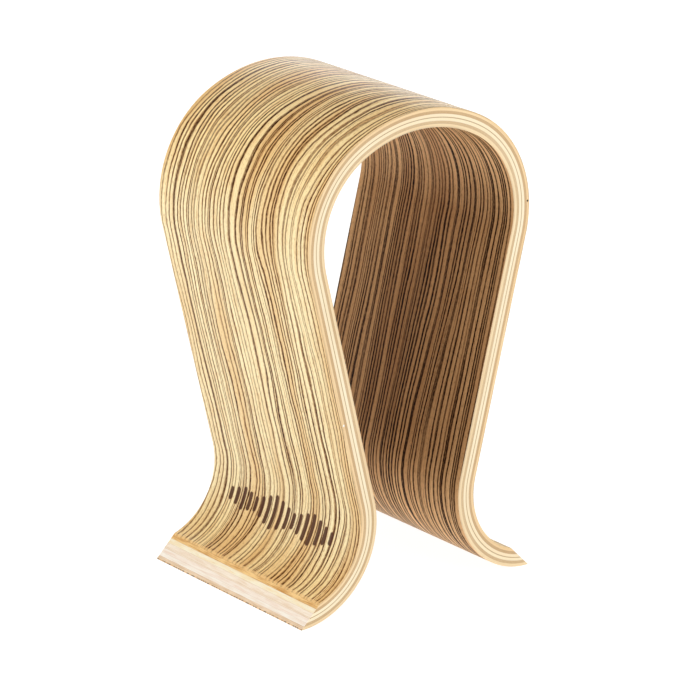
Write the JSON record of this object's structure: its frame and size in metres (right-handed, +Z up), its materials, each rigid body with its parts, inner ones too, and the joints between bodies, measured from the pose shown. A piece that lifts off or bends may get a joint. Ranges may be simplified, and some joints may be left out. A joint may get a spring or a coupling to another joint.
{
  "type": "headphone stand",
  "caption": "Headphone stand bent from laminated plywood into an omega shape, with striped face veneers, pale ply edges and bevelled toes.",
  "frame": {"origin": "on the floor, midway between the two feet and midway between the front and back edges", "axes": "+Z up; +X to one side, across the two legs; +Y to the back, along the depth of the bent sheet"},
  "size_m": [0.1502, 0.125, 0.26],
  "materials": {
    "outer_face_veneer": "zebrano face veneer, thin dark brown stripes on honey, satin clear finish",
    "outer_long_ply": "pale peach birch ply, grain along the bend, satin clear finish on the edge",
    "outer_crossband": "tan birch crossband, end grain on the front edge, satin clear finish",
    "outer_core_ply": "cream birch core ply, satin clear finish on the edge",
    "centre_veneer": "thin tan veneer, satin clear finish on the edge",
    "inner_core_ply": "cream birch core ply, satin clear finish on the edge",
    "inner_crossband": "tan birch crossband, end grain on the front edge, satin clear finish",
    "inner_long_ply": "pale peach birch ply, grain along the bend, satin clear finish on the edge",
    "inner_face_veneer": "zebrano face veneer, thin dark brown stripes on light brown, satin clear finish"
  },
  "bodies": {
    "root": {"outer_face_veneer": "outer_face_veneer", "outer_long_ply": "outer_long_ply", "outer_crossband": "outer_crossband", "outer_core_ply": "outer_core_ply", "centre_veneer": "centre_veneer", "inner_core_ply": "inner_core_ply", "inner_crossband": "inner_crossband", "inner_long_ply": "inner_long_ply", "inner_face_veneer": "inner_face_veneer"}
  },
  "joints": []
}
